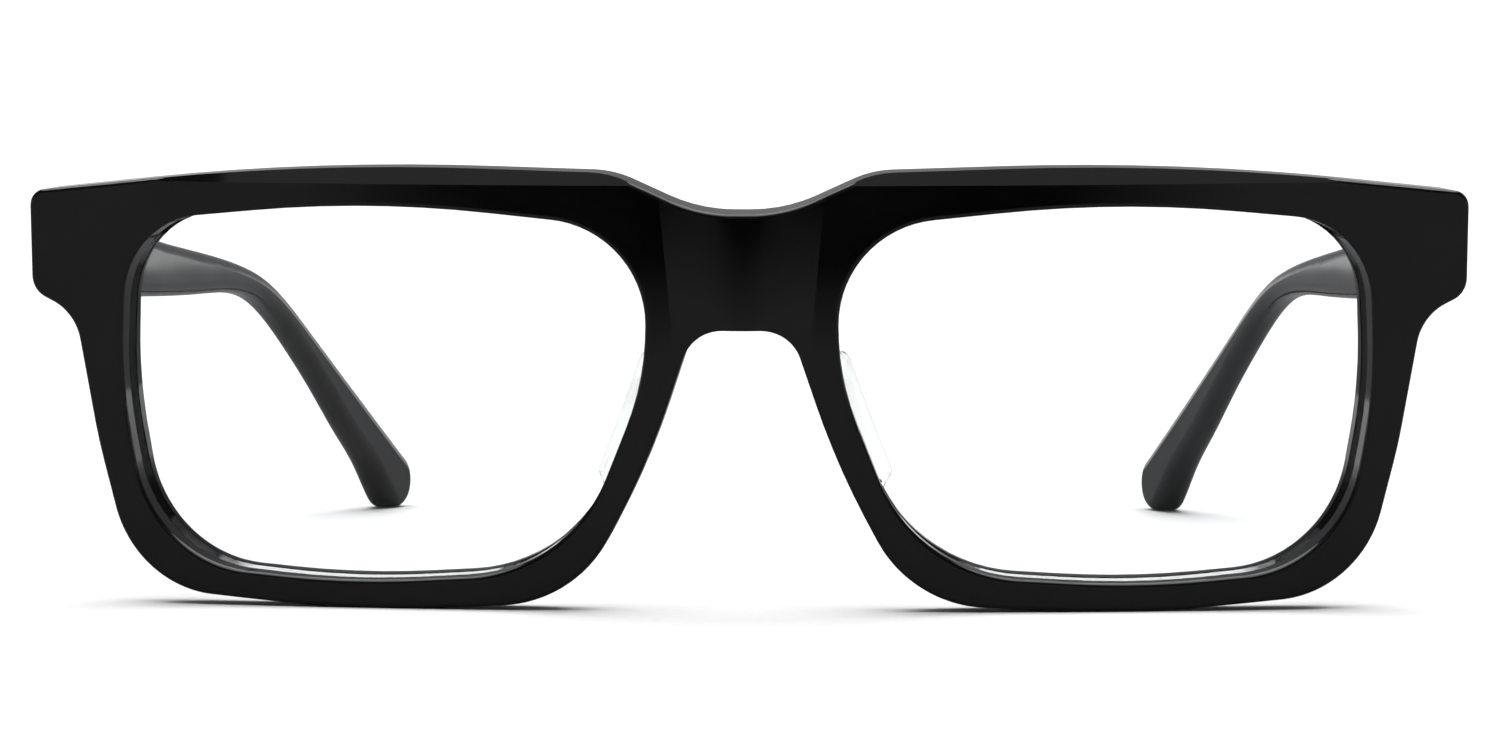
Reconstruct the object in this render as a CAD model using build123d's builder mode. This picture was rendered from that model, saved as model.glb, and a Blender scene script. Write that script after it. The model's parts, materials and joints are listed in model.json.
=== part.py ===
from build123d import *
import math
import os

# Rectangular full-rim acetate eyeglasses, standing open on the two rims and the two temple tips.
# Millimetres. +X is the wearer's left, the front faces -Y, +Z is up. Z = 0 is the table, and the
# origin is under the middle of the whole open frame.

# ---------------------------------------------------------------- front
bend_radius = 330.0  # outer face of the front, about an upright axis behind it
front_thickness = 5.0
front_tilt = 6.0  # degrees, the top leans away from the face
front_y = -63.99  # where the outer face's middle line meets the table's level
front_z = -0.051  # lifts the front so that its rims just touch the table
edge_round = 0.4  # polished edges
facet_height = 43.1  # the brow facet starts here
facet_lean = 28.0  # degrees back from the outer face
facet_rise = 4.0  # how far up the facet's cut runs, clear of the brow
bridge_half_width = 9.2  # the bridge swells out over this width, and its feet run into the sheet
bridge_bow_low = 1.1  # ahead of the outer face at the nose arch
bridge_bow_high = 1.25  # and at the brow
bridge_foot_sunk = 0.25  # the swelling's feet lie this far inside the sheet
bridge_foot_slope = 0.12
bridge_depth = 3.0  # front to back of the swelling's piece, mostly inside the sheet

# Half outline of the front, seen square on: corners of its tangent lines (across, up) and the
# radius that rounds each one, from the nose arch round the rim and the endpiece to the bridge.
arch_middle = (0.0, 28.77)
bridge_middle = (0.0, 40.4)
front_corners = [
    ((4.85, 28.77), 4.2),  # nose arch
    ((9.45, 15.1), 80.0),  # nasal side of the rim
    ((17.0, 0.8), 13.2),  # lower nasal corner
    ((39.4, -0.5), 140.0),  # bottom
    ((62.95, 1.2), 11.7),  # lower temporal corner
    ((66.54, 16.3), 60.0),  # temporal side of the rim
    ((68.65, 29.4), 5.2),  # under the endpiece
    ((73.24, 31.6), 2.4),  # endpiece, bottom
    ((73.18, 41.87), 1.7),  # endpiece, top
    ((43.6, 45.15), 270.0),  # brow
    ((13.1, 44.33), 10.5),  # brow's inner corner
    ((4.33, 40.4), 16.0),  # bridge
]

# One lens opening in the same way, from its nasal side over the bottom.
opening_corners = [
    ((9.66, 23.75), 28.0),
    ((17.55, 4.03), 16.5),
    ((40.1, 2.45), 105.0),
    ((60.9, 3.95), 13.0),
    ((63.8, 22.25), 50.0),
    ((62.95, 38.9), 9.2),
    ((37.35, 41.46), 125.0),
    ((9.66, 38.7), 10.4),
]

# ---------------------------------------------------------------- lenses
lens_u = 36.9  # lens centre, across
lens_v = 21.5  # lens centre, up the front
lens_base_radius = 130.0
lens_depth = 0.95  # the lens's middle surface behind the outer face, at the lens centre
lens_thickness = 1.8
lens_bevel = 0.5
groove_depth = 0.6
groove_play = 0.02

# ---------------------------------------------------------------- nose pads
pad_root_arc = [(8.35, 24.6), (10.05, 18.4), (12.75, 12.0)]
pad_tip_arc = [(10.1, 24.4), (12.25, 18.7), (14.35, 13.2)]
pad_root_width = 2.5
pad_tip_width = 1.9
pad_reach = 4.6  # behind the front's rear face
pad_round = 0.6

# ---------------------------------------------------------------- temples
temple_thickness = 3.7
temple_round = 1.45
temple_end_round = 0.3
joint_gap = 0.12  # between the temple's end and the endpiece
joint_u = 70.0  # middle of the temple at the joint

# Plan of the temple's middle, from the joint to the tip: across, and back from the front.
temple_plan = [
    (70.05, 0.0), (69.9, 12.0), (68.35, 42.0), (66.2, 66.0), (63.7, 88.0), (59.7, 109.0),
    (57.2, 121.5), (54.4, 134.5),
]
tip_swell = [0, 0, 0, 0, 0, 0, 0.6, 1.4]  # thicker on the inner side at each of these points
# Side view: back from the front, and up.
temple_top = [
    (5.0, 41.75), (12.0, 41.3), (24.0, 39.45), (38.0, 37.65), (52.0, 36.5), (63.0, 35.6),
    (73.0, 34.5), (82.0, 32.85), (90.0, 30.15), (98.0, 26.4), (116.0, 16.5),
]
temple_bottom = [
    (121.5, 5.9), (114.0, 11.05), (104.7, 17.55), (96.0, 23.1), (88.0, 27.35), (80.0, 30.0),
    (70.0, 31.15), (56.0, 31.15), (30.0, 31.25), (5.0, 31.55),
]
tip_centre = (129.6, 3.8)
tip_radius = 3.8
tip_start_angle = 58.0
tip_finish_angle = -128.0

# Wire core inside the temple
core_height = 1.4
core_thickness = 1.0
core_play = 0.02
core_path = [
    (23.0, 35.9), (45.0, 34.15), (64.0, 33.1), (79.0, 31.3), (92.0, 26.7), (104.0, 19.4),
    (119.0, 9.6),
]

# ---------------------------------------------------------------- hinges
pin_x = 66.35
pin_behind_seat = 1.75  # pin axis behind the endpiece's rear face
hinge_z = 36.75  # middle of the five knuckles
knuckle_radius = 1.35
knuckle_height = 1.1
top_knuckle_height = 1.6  # takes the screw's head
knuckle_gap = 0.04
web_width = 2.3
web_length = 2.3
screw_radius = 0.6
screw_play = 0.03  # in the temple's knuckles
thread_play = 0.02  # in the front's knuckles
head_radius = 0.95
head_height = 0.45
slot_width = 0.3
slot_depth = 0.25
seat_plate = (3.4, 6.4, 0.95)  # across, up, deep
seat_proud = 0.05  # behind the endpiece's rear face
seat_anchor = (1.6, 4.6, 1.3)
tooth_height = 0.3
tooth_pitch = 0.9
temple_plate = (9.0, 5.6)  # along, up
temple_plate_start = 11.4  # along the temple's middle line
temple_plate_proud = 0.4
temple_plate_sunk = 0.6
temple_anchor = (6.0, 3.4, 1.0)  # along, up, deep
temple_web = (1.65, 2.4)  # across, along

os.makedirs("parts", exist_ok=True)

# ---------------------------------------------------------------- frames of reference
tilt = math.radians(front_tilt)
front_plane = Plane(
    origin=(0, front_y, front_z), x_dir=(1, 0, 0), z_dir=(0, -math.cos(tilt), -math.sin(tilt))
)
bend_axis = Axis(front_plane.from_local_coords((0, 0, -bend_radius)), front_plane.y_dir)
rear_radius = bend_radius - front_thickness
sweep_half_angle = 16.0
section_ahead = 3.0  # the cutting shapes run from here
section_behind = -16.0  # to here, past both faces of the front


def rear_depth(u):
    """How far the front's rear face lies behind its outer face's middle, at u across."""
    return bend_radius - math.sqrt(rear_radius**2 - u**2)


def radial_plane(u, v, radius):
    """A plane on the bent front at u across and v up: its z points out of the outer face."""
    angle = math.asin(u / radius)
    local_origin = (u, v, radius * math.cos(angle) - bend_radius)
    outward = front_plane.z_dir * math.cos(angle) + front_plane.x_dir * math.sin(angle)
    across = front_plane.x_dir * math.cos(angle) - front_plane.z_dir * math.sin(angle)
    return Plane(front_plane.from_local_coords(local_origin), x_dir=across, z_dir=outward)


def section(corners, height):
    """Outline corners of the outer face carried along walls square to the bent sheet."""
    reach = bend_radius + height
    return [(reach * math.tan(math.asin(u / bend_radius)), v) for (u, v), radius in corners]


def radii(corners):
    return [radius for corner, radius in corners]


def behind(points, shift):
    """Side view points, moved back by the front's place and up by a shift."""
    return [(y + front_y, z + shift) for y, z in points]


def bent_slab(inner, outer, mode):
    """Adds, cuts or keeps a slab of the bent sheet, between two radii about the bend axis."""
    start = -math.radians(sweep_half_angle)
    spoke = front_plane.z_dir * math.cos(start) + front_plane.x_dir * math.sin(start)
    side = Plane(bend_axis.position, x_dir=spoke, z_dir=spoke.cross(front_plane.y_dir))
    with BuildSketch(side) as profile:
        with Locations(((inner + outer) / 2, 22.0)):
            Rectangle(outer - inner, 60.0)
    revolve(profile.sketch, axis=bend_axis, revolution_arc=2 * sweep_half_angle, mode=mode)


def opening_solid(margin):
    """The lens opening's prism with walls square to the bent sheet, wider by a margin."""
    with BuildPart() as prism:
        for height in (section_ahead, section_behind):
            with BuildSketch(front_plane.offset(height)):
                with BuildLine():
                    corners = section(opening_corners, height)
                    FilletPolyline(*corners, radius=radii(opening_corners), close=True)
                make_face()
                if margin > 0:
                    offset(amount=margin)
        loft(ruled=True)
    return prism.part


def lens_solid(margin, thickness):
    """A meniscus lens cut to the opening, with a bevelled edge."""
    centre_plane = radial_plane(lens_u, lens_v, bend_radius)
    sphere_centre = centre_plane.from_local_coords((0, 0, -lens_depth - lens_base_radius))
    with BuildPart() as blank:
        add(opening_solid(margin))
        with Locations(sphere_centre):
            Sphere(lens_base_radius + thickness / 2, mode=Mode.INTERSECT)
            Sphere(lens_base_radius - thickness / 2, mode=Mode.SUBTRACT)
        chamfer(blank.faces().filter_by(GeomType.SPHERE).edges(), lens_bevel)
    return blank.part


def band(points, width, swell):
    """A strip across X that follows a middle line in plan, its inner side swelling out."""
    near = [(x + width / 2, y + front_y) for x, y in points]
    far = [(x - width / 2 - more, y + front_y) for (x, y), more in zip(points, swell)]
    Spline(*near)
    Spline(*far)
    Line(near[0], far[0])
    Line(near[-1], far[-1])


# ---------------------------------------------------------------- hinge leaves and screw, left
hinge_v = (hinge_z - front_z - rear_depth(pin_x) * math.sin(tilt)) / math.cos(tilt)
seat = radial_plane(pin_x, hinge_v, rear_radius)
pin_y = seat.origin.Y + pin_behind_seat
lowest_knuckle = hinge_z - 2.5 * knuckle_height - 2 * knuckle_gap
knuckle_levels = [lowest_knuckle + n * (knuckle_height + knuckle_gap) for n in range(5)]
hinge_top = knuckle_levels[4] + top_knuckle_height
head_seat = hinge_top - head_height
standing = (Align.CENTER, Align.CENTER, Align.MIN)
hanging = (Align.CENTER, Align.CENTER, Align.MAX)

with BuildPart() as front_leaf_left:
    with Locations(seat.offset(-seat_proud)):
        Box(*seat_plate, align=standing)
    with Locations(seat.offset(seat_plate[2] - seat_proud)):
        Box(*seat_anchor, align=standing)
    # teeth across the anchor hold it in the acetate
    with Locations(seat.offset(seat_plate[2] - seat_proud + seat_anchor[2] / 2)):
        with GridLocations(0, tooth_pitch, 1, 5):
            Box(seat_anchor[0] + 2 * tooth_height, tooth_height, seat_anchor[2])
    for level in (knuckle_levels[0], knuckle_levels[2], knuckle_levels[4]):
        height = top_knuckle_height if level == knuckle_levels[4] else knuckle_height
        with Locations((pin_x, pin_y, level)):
            Cylinder(knuckle_radius, height, align=standing)
            Box(web_width, web_length, height, align=(Align.CENTER, Align.MAX, Align.MIN))
    with Locations((pin_x, pin_y, head_seat)):
        Cylinder(screw_radius + thread_play, 20.0, mode=Mode.SUBTRACT)
        Cylinder(head_radius + thread_play, 5.0, align=standing, mode=Mode.SUBTRACT)

with BuildLine() as temple_middle:
    Spline(*[(x, y + front_y) for x, y in temple_plan])
plate_middle = temple_plate_start + temple_plate[0] / 2
plate_point = temple_middle.wires()[0].position_at(plate_middle, position_mode=PositionMode.LENGTH)
plate_along = temple_middle.wires()[0].tangent_at(plate_middle, position_mode=PositionMode.LENGTH)
plate_inward = Vector(0, 0, 1).cross(plate_along)
temple_seat = Plane(
    plate_point + Vector(0, 0, hinge_z) + plate_inward * (temple_thickness / 2),
    x_dir=plate_along,
    z_dir=plate_inward,
)

with BuildPart() as temple_leaf_left:
    with Locations(temple_seat.offset(temple_plate_proud)):
        Box(*temple_plate, temple_plate_proud + temple_plate_sunk, align=hanging)
    with Locations(temple_seat.offset(-temple_plate_sunk)):
        Box(*temple_anchor, align=hanging)
    with Locations(temple_seat.offset(-temple_plate_sunk - temple_anchor[2] / 2)):
        with GridLocations(tooth_pitch, 0, 6, 1):
            Box(tooth_height, temple_anchor[1] + 2 * tooth_height, temple_anchor[2])
    for level in (knuckle_levels[1], knuckle_levels[3]):
        with Locations((pin_x, pin_y, level)):
            Cylinder(knuckle_radius, knuckle_height, align=standing)
            Box(*temple_web, knuckle_height, align=(Align.MIN, Align.MIN, Align.MIN))
    with Locations((pin_x, pin_y, hinge_z)):
        Cylinder(screw_radius + screw_play, 20.0, mode=Mode.SUBTRACT)

with BuildPart() as screw_left:
    with Locations((pin_x, pin_y, lowest_knuckle)):
        Cylinder(screw_radius, head_seat - lowest_knuckle, align=standing)
    with Locations((pin_x, pin_y, head_seat)):
        Cylinder(head_radius, head_height, align=standing)
    with Locations((pin_x, pin_y, hinge_top)):
        Box(2 * head_radius + 1.0, slot_width, 2 * slot_depth, mode=Mode.SUBTRACT)
    chamfer(screw_left.edges().group_by(Axis.Z)[0], 0.15)


# ---------------------------------------------------------------- front
def outline_prism():
    """The front's outline with walls square to the bent sheet."""
    with BuildPart() as prism:
        for height in (section_ahead, section_behind):
            with BuildSketch(front_plane.offset(height)):
                with BuildLine():
                    corners = [arch_middle, *section(front_corners, height), bridge_middle]
                    FilletPolyline(*corners, radius=radii(front_corners))
                    mirror(about=Plane.YZ)
                make_face()
        loft(ruled=True)
    return prism.part


def bridge_bow():
    """The bridge's outer face swells out sideways, with feet that run into the bent sheet."""
    lean = math.atan((bridge_bow_high - bridge_bow_low) / (bridge_middle[1] - arch_middle[1]))
    crest = front_plane.from_local_coords((0, arch_middle[1], bridge_bow_low))
    rise = front_plane.y_dir * math.cos(lean) + front_plane.z_dir * math.sin(lean)
    drop = bridge_bow_high + bridge_foot_sunk
    half = bridge_half_width
    with BuildPart() as piece:
        with BuildSketch(Plane(crest, x_dir=(1, 0, 0), z_dir=rise)) as bow:
            with BuildLine():
                Spline(
                    (-half, drop),
                    (-half / 2, 0.46 * drop),
                    (0, 0),
                    (half / 2, 0.46 * drop),
                    (half, drop),
                    tangents=[(1, -bridge_foot_slope), (1, bridge_foot_slope)],
                )
                Polyline((half, drop), (half, bridge_depth), (-half, bridge_depth), (-half, drop))
            make_face()
        extrude(bow.sketch, amount=24.0, both=True)
        add(outline_prism(), mode=Mode.INTERSECT)
        swelling = piece.faces().sort_by(Axis.Y)[0]
        fillet(swelling.edges().filter_by(GeomType.LINE, reverse=True), edge_round)
    return piece.part


def bent_front():
    """The front before its bridge, facet and grooves: outline, bend, openings, polished edges."""
    with BuildPart() as blank:
        add(outline_prism())
        bent_slab(rear_radius, bend_radius, Mode.INTERSECT)
        add(opening_solid(0), mode=Mode.SUBTRACT)
        mirror(opening_solid(0), about=Plane.YZ, mode=Mode.SUBTRACT)
        fillet(blank.faces().filter_by(GeomType.CYLINDER).edges(), edge_round)
    return blank.part


# The two pieces share their walls, so they are joined with a tolerance.
front_blank = bent_front().fuse(bridge_bow(), tol=1e-4)

with BuildPart() as front:
    add(front_blank)

    # facet along the brow
    start = -math.radians(sweep_half_angle)
    facet_top = facet_height + facet_rise
    facet_back = facet_rise * math.tan(math.radians(facet_lean))
    spoke = front_plane.z_dir * math.cos(start) + front_plane.x_dir * math.sin(start)
    facet_side = Plane(bend_axis.position, x_dir=spoke, z_dir=spoke.cross(front_plane.y_dir))
    with BuildSketch(facet_side) as facet:
        with BuildLine():
            Polyline(
                (bend_radius, facet_height),
                (bend_radius - facet_back, facet_top),
                (bend_radius + 1.0, facet_top),
                (bend_radius + 1.0, facet_height),
                close=True,
            )
        make_face()
    revolve(
        facet.sketch, axis=bend_axis, revolution_arc=2 * sweep_half_angle, mode=Mode.SUBTRACT
    )

    # lens grooves and the seats of the hinge leaves
    groove = lens_solid(groove_depth + groove_play, lens_thickness + 2 * groove_play)
    add(groove, mode=Mode.SUBTRACT)
    mirror(groove, about=Plane.YZ, mode=Mode.SUBTRACT)
    add(front_leaf_left.part, mode=Mode.SUBTRACT)
    mirror(front_leaf_left.part, about=Plane.YZ, mode=Mode.SUBTRACT)

# ---------------------------------------------------------------- lens and nose pad, left
with BuildPart() as lens_left:
    add(lens_solid(groove_depth, lens_thickness))

with BuildPart() as pad_left:
    root_height = 0.5 - rear_depth(pad_root_arc[1][0])
    tip_height = -rear_depth(pad_root_arc[1][0]) - pad_reach
    with BuildSketch(front_plane.offset(root_height)) as pad_root:
        with BuildLine() as root_line:
            ThreePointArc(*pad_root_arc)
        SlotArc(root_line.edges()[0], pad_root_width)
    with BuildSketch(front_plane.offset(tip_height)) as pad_tip:
        with BuildLine() as tip_line:
            ThreePointArc(*pad_tip_arc)
        SlotArc(tip_line.edges()[0], pad_tip_width)
    loft([pad_root.sketch, pad_tip.sketch])
    fillet(pad_left.faces().sort_by(Axis.Y)[-1].edges(), pad_round)
    bent_slab(rear_radius, bend_radius + 5.0, Mode.SUBTRACT)

# ---------------------------------------------------------------- temple and its core, left
def core_solid(play):
    with BuildPart() as core:
        with BuildSketch(Plane.YZ) as side:
            with BuildLine():
                upper = behind(core_path, core_height / 2 + play)
                lower = behind(core_path, -core_height / 2 - play)
                Spline(*upper)
                Spline(*lower)
                Line(upper[0], lower[0])
                Line(upper[-1], lower[-1])
            make_face()
        extrude(side.sketch, amount=90.0)
        with BuildSketch() as plan:
            with BuildLine():
                band(temple_plan, core_thickness + 2 * play, [0] * len(temple_plan))
            make_face()
        extrude(plan.sketch, amount=60.0, mode=Mode.INTERSECT)
    return core.part


with BuildPart() as core_left:
    add(core_solid(0))

with BuildPart() as temple_left:
    with BuildSketch(Plane.YZ) as side:
        with BuildLine():
            tip = CenterArc(
                (tip_centre[0] + front_y, tip_centre[1]),
                tip_radius,
                tip_start_angle,
                tip_finish_angle - tip_start_angle,
            )
            top = Spline(
                *behind(temple_top, 0),
                tip @ 0,
                tangents=[(1, -0.05), tip % 0],
                tangent_scalars=(1, 1),
            )
            bottom = Spline(
                tip @ 1,
                *behind(temple_bottom, 0),
                tangents=[tip % 1, (-1, 0.01)],
                tangent_scalars=(1, 1),
            )
            Line(bottom @ 1, top @ 0)
        make_face()
    extrude(side.sketch, amount=90.0)
    with BuildSketch(Plane.XY.offset(-5.0)) as plan:
        with BuildLine():
            band(temple_plan, temple_thickness, tip_swell)
        make_face()
    extrude(plan.sketch, amount=60.0, mode=Mode.INTERSECT)
    fillet(temple_left.edges(), temple_round)
    joint_plane = radial_plane(joint_u, hinge_v, rear_radius).offset(-joint_gap)
    split(bisect_by=joint_plane, keep=Keep.BOTTOM)
    fillet(temple_left.faces().sort_by(Axis.Y)[0].edges(), temple_end_round)
    add(temple_leaf_left.part, mode=Mode.SUBTRACT)
    add(core_solid(core_play), mode=Mode.SUBTRACT)

# ---------------------------------------------------------------- naming and export
sides = {
    "lens": lens_left,
    "nose_pad": pad_left,
    "hinge_front_leaf": front_leaf_left,
    "hinge_temple_leaf": temple_leaf_left,
    "hinge_screw": screw_left,
    "temple": temple_left,
    "temple_core": core_left,
}
front.part.label = "front"
export_step(front.part, "parts/front.step")
for name, left in sides.items():
    left.part.label = name + "_left"
    export_step(left.part, f"parts/{name}_left.step")
    with BuildPart() as right:
        mirror(left.part, about=Plane.YZ)
    right.part.label = name + "_right"
    export_step(right.part, f"parts/{name}_right.step")
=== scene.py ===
import json
import math

import bpy
from mathutils import Matrix, Vector

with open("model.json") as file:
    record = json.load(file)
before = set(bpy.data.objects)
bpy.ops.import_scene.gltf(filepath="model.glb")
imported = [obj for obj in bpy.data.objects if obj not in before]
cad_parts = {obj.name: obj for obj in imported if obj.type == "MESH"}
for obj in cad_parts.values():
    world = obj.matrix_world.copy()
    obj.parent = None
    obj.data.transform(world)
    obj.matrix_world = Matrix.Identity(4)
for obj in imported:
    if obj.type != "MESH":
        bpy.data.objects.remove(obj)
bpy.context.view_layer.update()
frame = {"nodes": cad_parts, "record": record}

# Metres, in the CAD's frame: +X is the wearer's left, the front faces -Y, +Z is up and z = 0 is
# the table. Angles are in radians unless a name says degrees.
table_size = 12.0
table_white = (0.9, 0.94)  # the paper's two shades, as seen
table_painted_shade = (0.185, 0.185, 0.189, 1.0)  # and as polished faces mirror it: a painted shade, darker than the paper

sun_strength = 4.0
sun_width_degrees = 75.0
sun_lean_degrees = -4.0
softbox_place = (0.0, -0.82, 0.73)
softbox_aim = (0.0, -0.06, 0.04)
softbox_width = 1.1
softbox_depth = 0.42
softbox_power = 0.62
backdrop_white = (1.25, 1.25, 1.25, 1.0)
# the studio's brightness behind the object, by the height of the direction looked in
studio_heights = ((0.0, 1.2, 1.21), (0.05, 1.0, 1.01), (0.12, 0.34, 0.35), (0.17, 0.27, 0.28))
studio_top = (0.3, 0.22, 0.23)

patch_centre = (0.0, -0.323, 0.0008)
patch_radius = 0.2
patch_fade = (0.1, 0.155)  # full inside the first radius, gone at the second

camera_lens = 76.49
camera_sensor = 36.0
camera_place = (0.01109, -0.38379, 0.0365)
camera_turn = 0.03235
camera_down_degrees = 2.244
camera_roll = 0.00164


# ---------------------------------------------------------------- node helpers
class Shader:
    """A material's node tree with short ways to add the nodes used here."""

    def __init__(self, name):
        self.material = bpy.data.materials.new(name)
        self.material.use_nodes = True
        self.tree = self.material.node_tree
        self.surface = self.tree.nodes["Principled BSDF"]
        self.output = self.tree.nodes["Material Output"]
        coordinates = self.add("ShaderNodeTexCoord")
        self.place = coordinates.outputs["Object"]
        self.facing = coordinates.outputs["Normal"]

    def add(self, kind, **settings):
        node = self.tree.nodes.new(kind)
        for key, value in settings.items():
            setattr(node, key, value)
        return node

    def link(self, source, target):
        self.tree.links.new(source, target)

    def set(self, **values):
        for key, value in values.items():
            self.surface.inputs[key.replace("_", " ")].default_value = value

    def stretched(self, scale, turn=(0.0, 0.0, 0.0)):
        mapping = self.add("ShaderNodeMapping")
        mapping.inputs["Scale"].default_value = scale
        mapping.inputs["Rotation"].default_value = turn
        self.link(self.place, mapping.inputs["Vector"])
        return mapping.outputs["Vector"]

    def noise(self, scale, detail=2.0, roughness=0.5, vector=None):
        node = self.add("ShaderNodeTexNoise")
        node.inputs["Scale"].default_value = scale
        node.inputs["Detail"].default_value = detail
        node.inputs["Roughness"].default_value = roughness
        self.link(vector or self.place, node.inputs["Vector"])
        return node.outputs["Fac"]

    def remap(self, source, low_in, high_in, low_out, high_out):
        node = self.add("ShaderNodeMapRange")
        for key, value in zip(
            ("From Min", "From Max", "To Min", "To Max"), (low_in, high_in, low_out, high_out)
        ):
            node.inputs[key].default_value = value
        self.link(source, node.inputs["Value"])
        return node.outputs["Result"]

    def sum(self, *sources):
        total = sources[0]
        for source in sources[1:]:
            node = self.add("ShaderNodeMath", operation="ADD")
            self.link(total, node.inputs[0])
            self.link(source, node.inputs[1])
            total = node.outputs[0]
        return total

    def ramp(self, source, *stops):
        node = self.add("ShaderNodeValToRGB")
        elements = node.color_ramp.elements
        elements[0].position, elements[0].color = stops[0][0], (*stops[0][1], 1.0)
        elements[1].position, elements[1].color = stops[-1][0], (*stops[-1][1], 1.0)
        for position, colour in stops[1:-1]:
            elements.new(position).color = (*colour, 1.0)
        self.link(source, node.inputs["Fac"])
        return node.outputs["Color"]

    def bump(self, height, strength, distance):
        node = self.add("ShaderNodeBump")
        node.inputs["Strength"].default_value = strength
        node.inputs["Distance"].default_value = distance
        self.link(height, node.inputs["Height"])
        self.link(node.outputs["Normal"], self.surface.inputs["Normal"])
        return node.outputs["Normal"]


def black_acetate():
    """Tumble-polished black acetate: deep black, faint cloudiness, hairline polishing marks."""
    s = Shader("black_acetate")
    clouds = s.noise(70.0, detail=4.0)
    s.link(
        s.ramp(clouds, (0.3, (0.0011, 0.0011, 0.0013)), (0.7, (0.0028, 0.0028, 0.0031))),
        s.surface.inputs["Base Color"],
    )
    hairlines = s.noise(1.0, detail=3.0, vector=s.stretched((90.0, 900.0, 3200.0), (0.0, 0.0, 0.4)))
    haze = s.remap(clouds, 0.3, 0.7, 0.05, 0.072)
    marks = s.remap(hairlines, 0.62, 0.8, 0.0, 0.012)
    s.link(s.sum(haze, marks), s.surface.inputs["Roughness"])
    s.set(IOR=1.49)
    s.bump(s.noise(90.0, detail=0.0), 0.01, 0.00002)
    return s.material


def clear_lens():
    """Thin clear demo lens: nearly all of the light passes, the rest is a soft reflection. Its
    ground edge, in the rim's groove, is painted near black as the groove's shade."""
    s = Shader("clear_lens")
    smear = s.noise(45.0, detail=3.0, vector=s.stretched((1.0, 1.0, 2.2), (0.0, 0.0, 0.7)))
    s.link(s.remap(smear, 0.35, 0.75, 0.02, 0.06), s.surface.inputs["Roughness"])
    polished = s.ramp(smear, (0.3, (0.93, 0.96, 0.97)), (0.7, (0.97, 0.98, 0.98)))
    s.set(Metallic=1.0)
    # the ground edge's faces look along the front, the polished ones square to it
    sides = s.add("ShaderNodeSeparateXYZ")
    s.link(s.facing, sides.inputs[0])
    square = s.add("ShaderNodeMath", operation="ABSOLUTE")
    s.link(sides.outputs["Y"], square.inputs[0])
    edge_shade_mask = s.remap(square.outputs[0], 0.84, 0.78, 0.0, 1.0)
    tint = s.add("ShaderNodeMix", data_type="RGBA")
    s.link(edge_shade_mask, tint.inputs["Factor"])
    s.link(polished, tint.inputs[6])
    # painted shade of the groove: the edge faces are coloured near black
    tint.inputs[7].default_value = (0.01, 0.01, 0.011, 1.0)
    s.link(tint.outputs[2], s.surface.inputs["Base Color"])
    clear = s.add("ShaderNodeBsdfTransparent")
    clear.inputs["Color"].default_value = (0.99, 0.995, 0.995, 1.0)
    # each face mirrors a little head on and a lot at a grazing angle, from either side
    grazing = s.add("ShaderNodeLayerWeight")
    grazing.inputs["Blend"].default_value = 0.5
    steep = s.add("ShaderNodeMath", operation="POWER")
    s.link(grazing.outputs["Facing"], steep.inputs[0])
    steep.inputs[1].default_value = 5.0
    share = s.remap(steep.outputs[0], 0.0, 1.0, 0.025, 0.85)
    # the painted shade also makes the edge faces opaque
    solid = s.add("ShaderNodeMath", operation="MAXIMUM")
    s.link(share, solid.inputs[0])
    s.link(edge_shade_mask, solid.inputs[1])
    mix = s.add("ShaderNodeMixShader")
    s.link(solid.outputs[0], mix.inputs[0])
    s.link(clear.outputs[0], mix.inputs[1])
    s.link(s.surface.outputs[0], mix.inputs[2])
    s.link(mix.outputs[0], s.output.inputs["Surface"])
    return s.material


def clear_pad():
    """Clear moulded pad: bright body that bends what is behind it, with a faint tumbled skin."""
    s = Shader("clear_pad")
    skin = s.noise(1400.0, detail=2.0)
    s.link(s.remap(skin, 0.3, 0.7, 0.03, 0.09), s.surface.inputs["Roughness"])
    s.link(
        s.ramp(s.noise(200.0), (0.3, (0.95, 0.96, 0.96)), (0.7, (0.99, 0.99, 0.99))),
        s.surface.inputs["Base Color"],
    )
    s.set(IOR=1.46, Transmission_Weight=0.97)
    s.bump(skin, 0.06, 0.00003)
    return s.material


def hinge_metal():
    """Nickel-silver, stamped and barrel-finished, with fine lines along each leaf."""
    s = Shader("hinge_metal")
    grain = s.noise(1.0, detail=4.0, vector=s.stretched((7000.0, 900.0, 9000.0)))
    tarnish = s.noise(300.0, detail=2.0)
    s.link(
        s.ramp(tarnish, (0.3, (0.66, 0.63, 0.57)), (0.7, (0.72, 0.7, 0.65))),
        s.surface.inputs["Base Color"],
    )
    s.link(s.remap(grain, 0.3, 0.7, 0.24, 0.32), s.surface.inputs["Roughness"])
    s.set(Metallic=1.0)
    s.bump(grain, 0.05, 0.00001)
    return s.material


def core_wire():
    """Drawn wire: bright with lines along its length."""
    s = Shader("core_wire")
    lines = s.noise(1.0, detail=3.0, vector=s.stretched((5200.0, 120.0, 5200.0)))
    s.link(
        s.ramp(lines, (0.3, (0.42, 0.41, 0.39)), (0.7, (0.6, 0.59, 0.56))),
        s.surface.inputs["Base Color"],
    )
    s.link(s.remap(lines, 0.3, 0.7, 0.25, 0.5), s.surface.inputs["Roughness"])
    s.set(Metallic=1.0)
    s.bump(lines, 0.3, 0.00003)
    return s.material


materials = {
    "black_acetate": black_acetate(),
    "clear_lens": clear_lens(),
    "clear_pad": clear_pad(),
    "hinge_metal": hinge_metal(),
    "core_wire": core_wire(),
}
for entry in frame["record"]["subparts"]:
    node = frame["nodes"][entry["node"]]
    for slot in node.material_slots:
        slot.material = materials[entry["material_slot"]]

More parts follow.
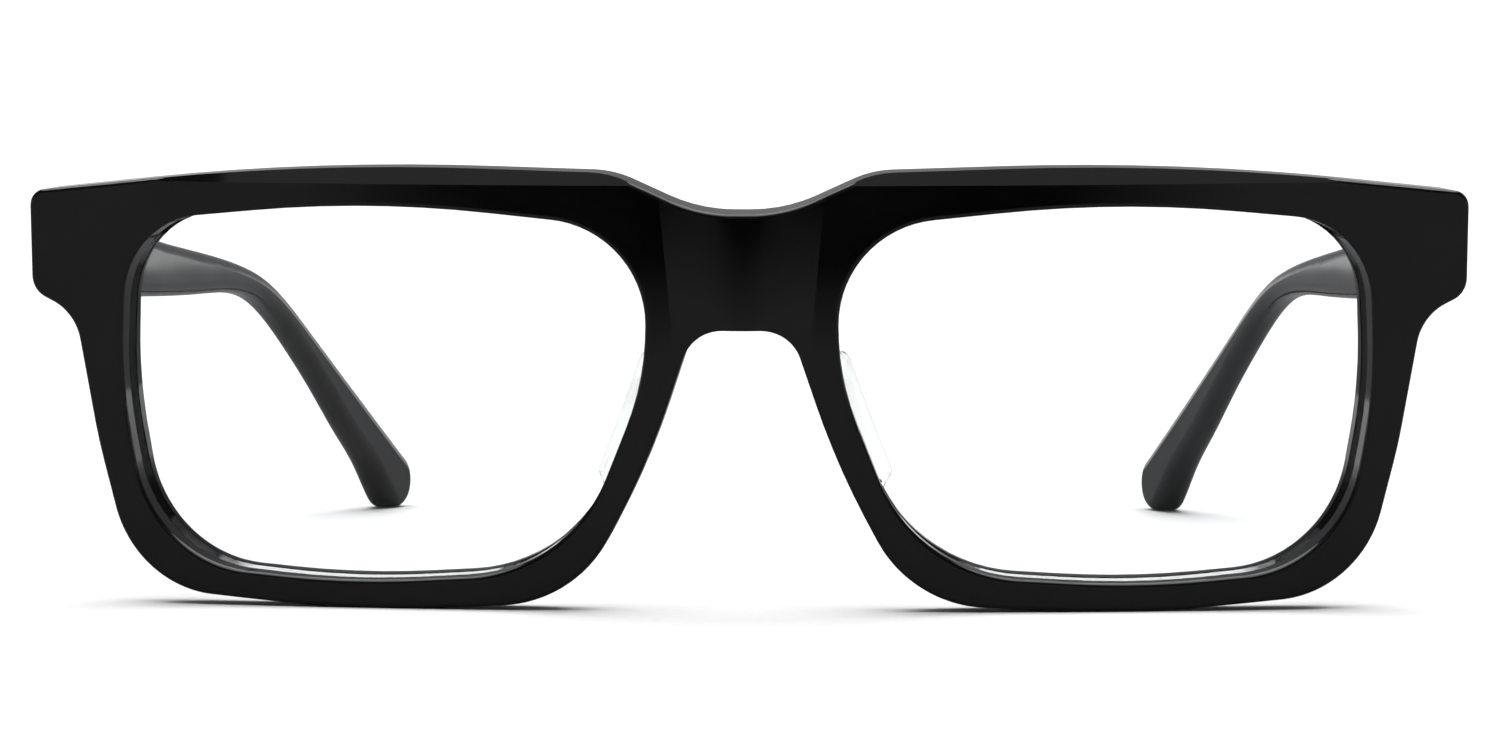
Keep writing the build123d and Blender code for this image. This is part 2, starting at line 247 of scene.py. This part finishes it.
# ---------------------------------------------------------------- table
def white_table():
    """White paper. In the object's reflections its colour is a painted shade, as dim as the
    studio's own floor.
    """
    s = Shader("white_table")
    paper = s.noise(900.0, detail=3.0)
    darker, lighter = table_white
    seen = s.ramp(paper, (0.3, (darker,) * 3), (0.7, (lighter,) * 3))
    rays = s.add("ShaderNodeLightPath")
    mirrored = s.add("ShaderNodeMath", operation="SUBTRACT", use_clamp=True)
    s.link(rays.outputs["Is Glossy Ray"], mirrored.inputs[0])
    s.link(rays.outputs["Is Transmission Ray"], mirrored.inputs[1])
    # glossy rays that are not transmission see this painted shade instead of the white paper
    shade = s.add("ShaderNodeMix", data_type="RGBA")
    s.link(mirrored.outputs[0], shade.inputs["Factor"])
    s.link(seen, shade.inputs[6])
    shade.inputs[7].default_value = table_painted_shade
    s.link(shade.outputs[2], s.surface.inputs["Base Color"])
    s.set(Roughness=0.9, Specular_IOR_Level=0.1)
    return s.material


bpy.ops.mesh.primitive_plane_add(size=table_size, location=(0.0, 0.0, 0.0))
table = bpy.context.object
table.name = "table"
table.data.materials.append(white_table())

# ---------------------------------------------------------------- studio
world = bpy.data.worlds.new("studio")
bpy.context.scene.world = world
world.use_nodes = True
sky = world.node_tree
background = sky.nodes["Background"]
direction = sky.nodes.new("ShaderNodeTexCoord")
parts = sky.nodes.new("ShaderNodeSeparateXYZ")
sky.links.new(direction.outputs["Generated"], parts.inputs[0])
# the studio round the table: a lit wall behind, dimmer upwards and towards the viewer
height = sky.nodes.new("ShaderNodeValToRGB")
stops = height.color_ramp.elements
for stop, (place, grey, blue) in zip(stops, (studio_heights[0], studio_top)):
    stop.position = place
    stop.color = (grey, grey, blue, 1.0)
for place, grey, blue in studio_heights[1:]:
    stops.new(place).color = (grey, grey, blue, 1.0)
sky.links.new(parts.outputs["Z"], height.inputs["Fac"])
front_dim = sky.nodes.new("ShaderNodeMapRange")
for key, value in zip(("From Min", "From Max", "To Min", "To Max"), (-0.5, 0.3, 0.25, 1.0)):
    front_dim.inputs[key].default_value = value
sky.links.new(parts.outputs["Y"], front_dim.inputs["Value"])
studio = sky.nodes.new("ShaderNodeMix")
studio.data_type = "RGBA"
sky.links.new(front_dim.outputs["Result"], studio.inputs["Factor"])
studio.inputs[6].default_value = (0.0, 0.0, 0.0, 1.0)
sky.links.new(height.outputs["Color"], studio.inputs[7])
# what is seen directly, or through the clear parts, is the plain white backdrop
rays = sky.nodes.new("ShaderNodeLightPath")
direct = sky.nodes.new("ShaderNodeMath")
direct.operation = "MAXIMUM"
sky.links.new(rays.outputs["Is Camera Ray"], direct.inputs[0])
sky.links.new(rays.outputs["Is Transmission Ray"], direct.inputs[1])
shown = sky.nodes.new("ShaderNodeMix")
shown.data_type = "RGBA"
sky.links.new(direct.outputs[0], shown.inputs["Factor"])
sky.links.new(studio.outputs[2], shown.inputs[6])
shown.inputs[7].default_value = backdrop_white
sky.links.new(shown.outputs[2], background.inputs["Color"])
background.inputs["Strength"].default_value = 1.0

sun = bpy.data.lights.new("overhead", "SUN")
sun.energy = sun_strength
sun.angle = math.radians(sun_width_degrees)
overhead = bpy.data.objects.new("overhead", sun)
overhead.rotation_euler = (math.radians(sun_lean_degrees), 0.0, 0.0)
bpy.context.collection.objects.link(overhead)

lamp = bpy.data.lights.new("front_high", "AREA")
lamp.shape = "RECTANGLE"
lamp.size = softbox_width
lamp.size_y = softbox_depth
lamp.energy = softbox_power
box = bpy.data.objects.new("front_high", lamp)
box.location = softbox_place
beam = Vector(softbox_aim) - Vector(softbox_place)
box.rotation_euler = beam.to_track_quat("-Z", "Y").to_euler()
bpy.context.collection.objects.link(box)

# A painted shadow: a dark patch with a soft outline ahead of the object, which only reflections
# show
bpy.ops.mesh.primitive_circle_add(
    vertices=128, radius=patch_radius, fill_type="NGON", location=patch_centre
)
painted_shadow_patch = bpy.context.object
painted_shadow_patch.name = "painted_shadow_ahead"
dark = Shader("painted_shadow_ahead")
# the painted shadow's colour: near black, fading out at its soft outline
dark.set(Base_Color=(0.001, 0.001, 0.001, 1.0), Roughness=1.0, Specular_IOR_Level=0.0)
radius = dark.add("ShaderNodeVectorMath", operation="LENGTH")
dark.link(dark.place, radius.inputs[0])
dark.link(
    dark.remap(radius.outputs["Value"], *patch_fade, 1.0, 0.0), dark.surface.inputs["Alpha"]
)
painted_shadow_patch.data.materials.append(dark.material)
painted_shadow_patch.visible_camera = False
painted_shadow_patch.visible_diffuse = False
painted_shadow_patch.visible_transmission = False
painted_shadow_patch.visible_shadow = False

# ---------------------------------------------------------------- camera
camera_data = bpy.data.cameras.new("camera")
camera_data.lens = camera_lens
camera_data.sensor_width = camera_sensor
camera_data.clip_start = 0.01
camera = bpy.data.objects.new("camera", camera_data)
bpy.context.collection.objects.link(camera)
down = math.radians(camera_down_degrees)
ahead = Vector(
    (
        -math.sin(camera_turn) * math.cos(down),
        math.cos(camera_turn) * math.cos(down),
        -math.sin(down),
    )
)
level = ahead.cross(Vector((0.0, 0.0, 1.0))).normalized()
upright = level.cross(ahead)
across = level * math.cos(camera_roll) + upright * math.sin(camera_roll)
up = upright * math.cos(camera_roll) - level * math.sin(camera_roll)
pose = Matrix((across, up, -ahead)).transposed().to_4x4()
pose.translation = Vector(camera_place)
camera.matrix_world = pose
bpy.context.scene.camera = camera

scene = bpy.context.scene
scene.view_settings.view_transform = "Standard"
scene.view_settings.look = "None"
